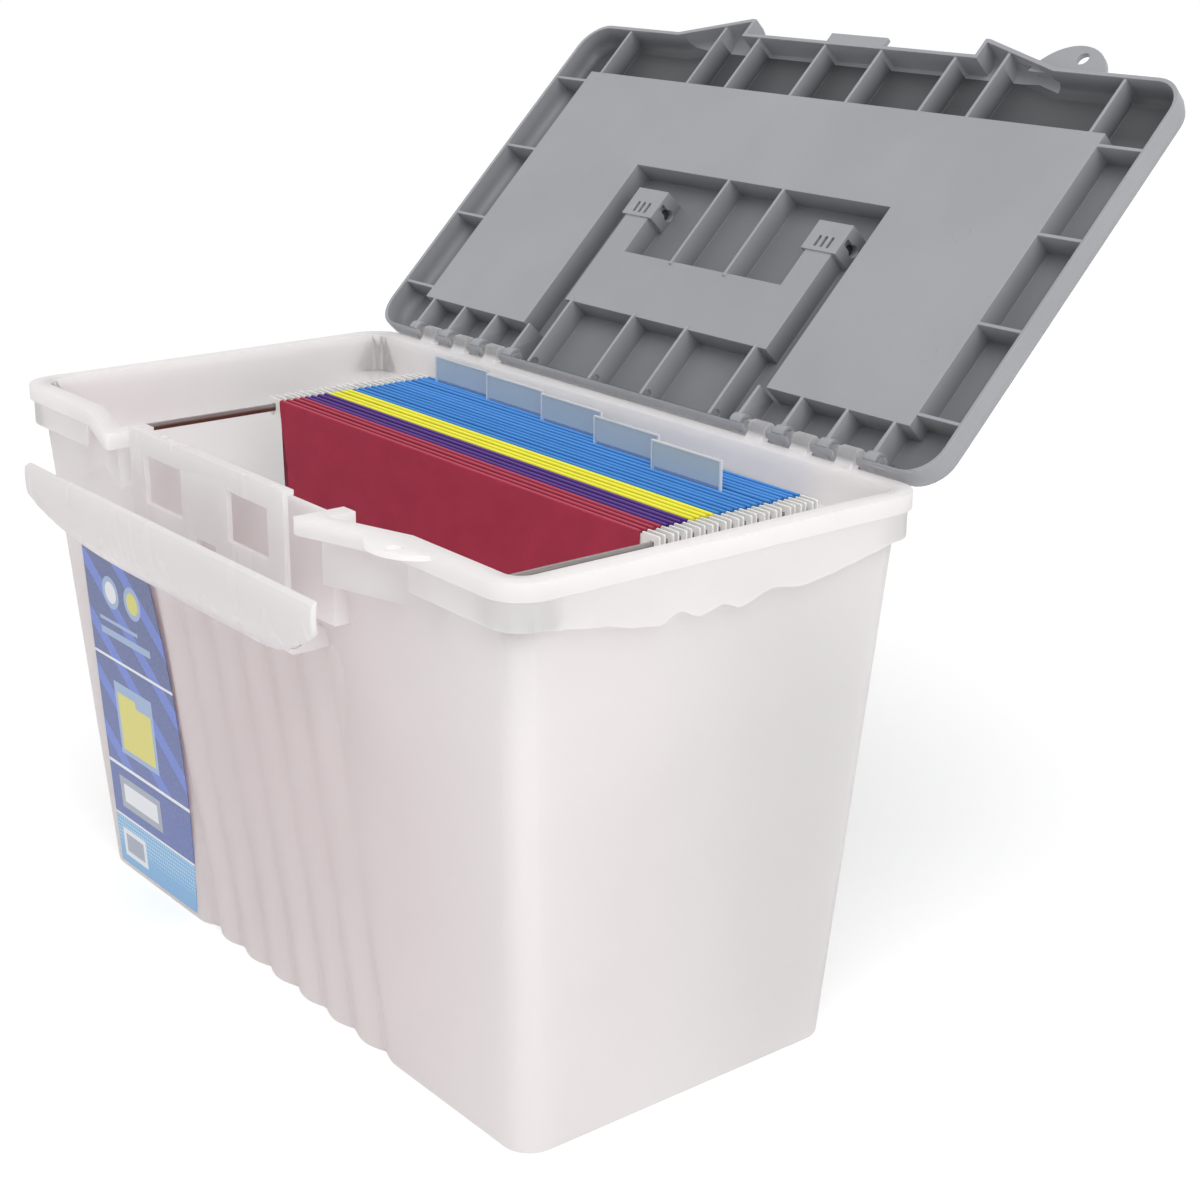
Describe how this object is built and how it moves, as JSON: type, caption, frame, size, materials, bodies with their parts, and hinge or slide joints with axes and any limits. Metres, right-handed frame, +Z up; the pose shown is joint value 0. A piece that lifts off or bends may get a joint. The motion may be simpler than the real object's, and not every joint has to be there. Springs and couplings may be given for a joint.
{
  "type": "portable file box",
  "caption": "Translucent portable file box with a hinged lid, folding carry handle, over-centre front latch and hanging folders on two rails.",
  "frame": {"origin": "middle of the flat underside of the tub", "axes": "+X along the front to the right, the front and its latch face -Y, +Z up"},
  "size_m": [0.438, 0.4396, 0.4474],
  "materials": {
    "translucent_tub": "milky polypropylene with a fine mould grain",
    "translucent_latch": "milky polypropylene, smooth",
    "grey_lid": "satin moulded",
    "dark_handle": "satin moulded",
    "rail_steel": "dull dark",
    "label_film": "printed film",
    "crimson_board": "uncoated board",
    "purple_board": "uncoated board",
    "yellow_board": "uncoated board",
    "blue_board": "uncoated board",
    "coated_hanger": "white plastic coating",
    "clear_tab": "clear, bluish",
    "insert_paper": "plain"
  },
  "bodies": {
    "tub": {"tub": "translucent_tub", "rail_left": "rail_steel", "rail_right": "rail_steel", "label": "label_film"},
    "lid": {"lid": "grey_lid"},
    "handle": {"handle": "dark_handle"},
    "latch_lever": {"latch_lever": "translucent_latch"},
    "latch_clamp": {"latch_clamp": "translucent_latch"},
    "crimson_files": {"crimson_folders": "crimson_board", "crimson_hangers": "coated_hanger"},
    "purple_files": {"purple_folders": "purple_board", "purple_hangers": "coated_hanger"},
    "yellow_files": {"yellow_folders": "yellow_board", "yellow_hangers": "coated_hanger"},
    "blue_files": {"blue_folders": "blue_board", "blue_hangers": "coated_hanger", "tab_1": "clear_tab", "tab_2": "clear_tab", "tab_3": "clear_tab", "tab_4": "clear_tab", "tab_5": "clear_tab", "insert_1": "insert_paper", "insert_2": "insert_paper", "insert_3": "insert_paper", "insert_4": "insert_paper", "insert_5": "insert_paper"}
  },
  "joints": [
    {"name": "lid_hinge", "type": "hinge", "parent": "tub", "child": "lid", "pos_m": [0, 0.1155, 0.275], "axis": [1, 0, 0], "range_deg": [0, 135]},
    {"name": "handle_pivot", "type": "hinge", "parent": "lid", "child": "handle", "pos_m": [0, 0.19618, 0.34804], "axis": [1, 0, 0], "range_deg": [0, 90]},
    {"name": "lever_hinge", "type": "hinge", "parent": "tub", "child": "latch_lever", "pos_m": [0, -0.118, 0.205], "axis": [-1, 0, 0], "range_deg": [0, 28.5]},
    {"name": "clamp_hinge", "type": "hinge", "parent": "latch_lever", "child": "latch_clamp", "pos_m": [0, -0.118, 0.211], "axis": [-1, 0, 0], "range_deg": [-28.5, 0]},
    {"name": "blue_slide", "type": "slide", "parent": "tub", "child": "blue_files", "axis": [0, -1, 0], "range_m": [0, 0.02]},
    {"name": "yellow_slide", "type": "slide", "parent": "blue_files", "child": "yellow_files", "axis": [0, -1, 0], "range_m": [0, 0.02]},
    {"name": "purple_slide", "type": "slide", "parent": "yellow_files", "child": "purple_files", "axis": [0, -1, 0], "range_m": [0, 0.02]},
    {"name": "crimson_slide", "type": "slide", "parent": "purple_files", "child": "crimson_files", "axis": [0, -1, 0], "range_m": [0, 0.026]}
  ],
  "couplings": [
    {"joint": "clamp_hinge", "follows": "lever_hinge", "ratio": -1}
  ]
}
